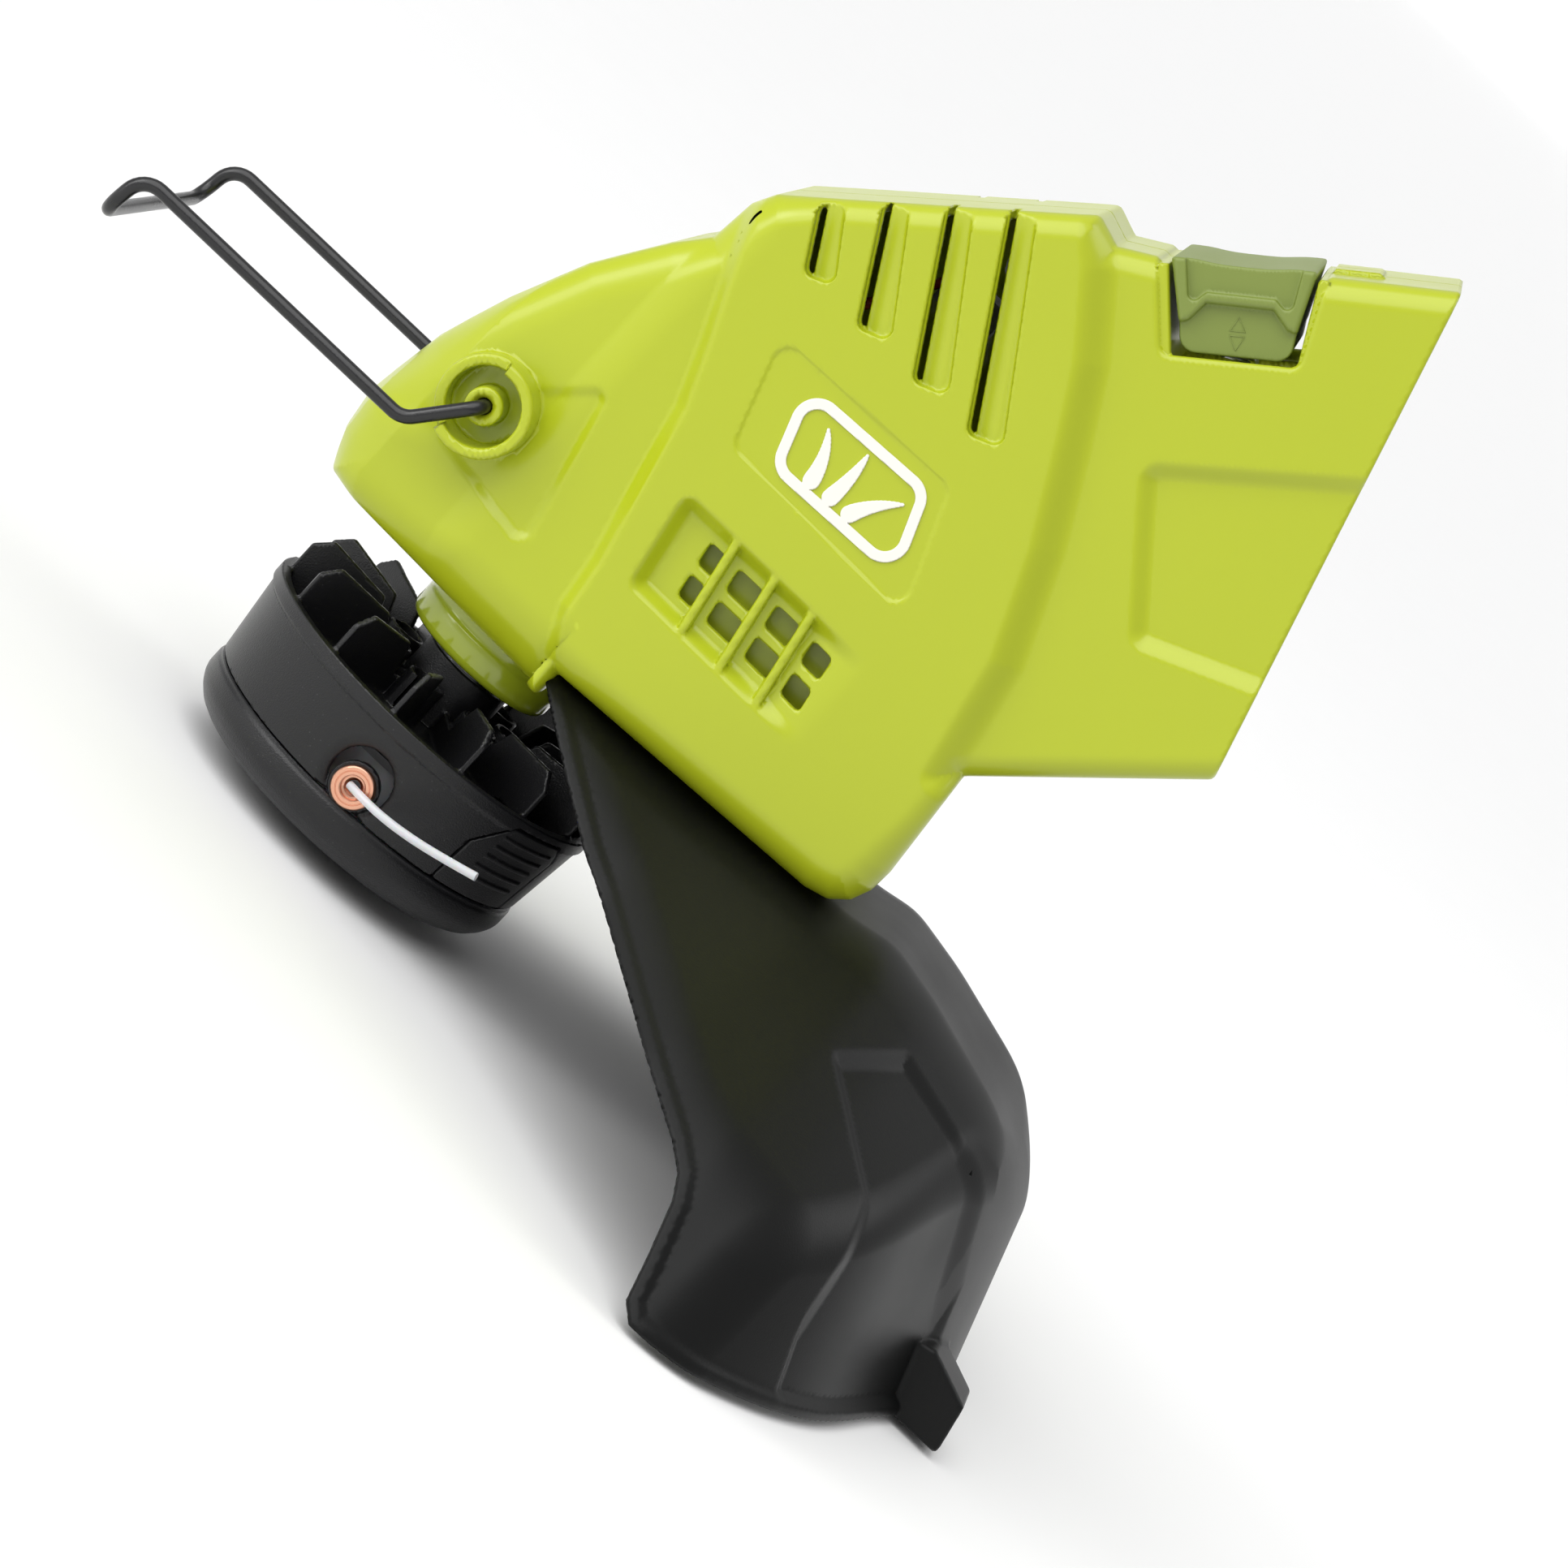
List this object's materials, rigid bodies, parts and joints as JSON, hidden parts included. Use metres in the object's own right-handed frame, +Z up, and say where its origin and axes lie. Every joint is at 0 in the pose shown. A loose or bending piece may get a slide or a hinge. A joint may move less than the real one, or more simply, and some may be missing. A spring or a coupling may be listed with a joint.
{
  "type": "string trimmer head",
  "caption": "Cutting head of a string trimmer: motor housing with tilting pole socket, folding wire edge guard, spool head with bladed cup and rear shield.",
  "frame": {"origin": "centre of the bump knob's lower face, on the spindle axis", "axes": "+Z up the spindle, +X to the rear where the pole leaves, +Y to the side away from the view in the picture"},
  "size_m": [0.3387, 0.2934, 0.28],
  "materials": {
    "green_shell": "moulded, satin to gloss",
    "green_button": "moulded",
    "black_plastic": "fine moulded texture",
    "black_hood": "smooth moulded",
    "wire": "satin black paint",
    "badge": "printed label",
    "steel": "bright",
    "copper": "drawn copper",
    "line": "translucent nylon",
    "zinc": "plated steel",
    "copper_wire": "enamelled windings",
    "magnet": "ferrite",
    "carbon": "carbon",
    "grey_plastic": "moulded",
    "lead": "insulated wire"
  },
  "bodies": {
    "housing": {"housing_left": "green_shell", "housing_right": "green_shell", "housing_screws": "steel", "side_badges": "badge", "spindle_collar": "green_shell", "motor_plate": "zinc", "motor_screws": "steel", "motor_can": "zinc", "motor_end_cap": "grey_plastic", "motor_magnets": "magnet", "carbon_brushes": "carbon", "lower_bearing": "steel", "upper_bearing": "steel", "motor_leads": "lead", "lead_connector": "grey_plastic", "shield": "black_hood", "shield_screws": "steel", "cutter_blade": "steel", "cutter_screws": "steel", "tilt_pin": "steel", "button_springs": "steel"},
    "guard": {"wire_guard": "wire"},
    "socket": {"pole_socket": "grey_plastic", "socket_bushes": "copper"},
    "button": {"lock_button": "green_button"},
    "spindle": {"motor_shaft": "steel", "rotor_core": "zinc", "rotor_windings": "copper_wire", "commutator": "copper", "drive_hub": "steel", "hub_clip": "steel", "spool_cup": "black_plastic", "line_eyelets": "copper", "line_end_near": "line", "line_end_far": "line", "feed_spring": "steel"},
    "cover": {"spool_cover": "black_plastic"},
    "tab_a": {"cover_tab_a": "black_plastic"},
    "tab_b": {"cover_tab_b": "black_plastic"},
    "knob": {"bump_knob": "black_plastic"},
    "spool": {"line_spool": "grey_plastic", "wound_line": "line"}
  },
  "joints": [
    {"name": "guard_fold", "type": "hinge", "parent": "housing", "child": "guard", "pos_m": [-0.0358, 0, 0.1093], "axis": [0, 1, 0], "range_deg": [0, 116]},
    {"name": "socket_tilt", "type": "hinge", "parent": "housing", "child": "socket", "pos_m": [0.083, 0, 0.179], "axis": [0, 1, 0], "range_deg": [-20, 20]},
    {"name": "button_press", "type": "slide", "parent": "housing", "child": "button", "axis": [0.6026, 0, -0.7981], "range_m": [0, 0.003], "stiffness_N_per_m": 1200, "springref_m": -0.004, "deforming": ["button_springs"]},
    {"name": "spindle_spin", "type": "hinge", "parent": "housing", "child": "spindle", "pos_m": [0, 0, 0.05], "axis": [0, 0, 1], "continuous": true},
    {"name": "cover_release", "type": "slide", "parent": "spindle", "child": "cover", "axis": [0, 0, -1], "range_m": [0, 0.045]},
    {"name": "tab_a_press", "type": "hinge", "parent": "cover", "child": "tab_a", "pos_m": [0.03747, -0.02528, 0.0188], "axis": [-0.5592, -0.829, 0], "range_deg": [0, 4], "stiffness_Nm_per_rad": 0.6, "springref_deg": -1.15},
    {"name": "tab_b_press", "type": "hinge", "parent": "cover", "child": "tab_b", "pos_m": [-0.03747, 0.02528, 0.0188], "axis": [0.5592, 0.829, 0], "range_deg": [0, 4], "stiffness_Nm_per_rad": 0.6, "springref_deg": -1.15},
    {"name": "knob_bump", "type": "slide", "parent": "spindle", "child": "knob", "axis": [0, 0, 1], "range_m": [0, 0.0035], "stiffness_N_per_m": 2000, "springref_m": -0.006, "deforming": ["feed_spring"]},
    {"name": "spool_turn", "type": "hinge", "parent": "knob", "child": "spool", "pos_m": [0, 0, 0.02], "axis": [0, 0, 1], "continuous": true}
  ]
}
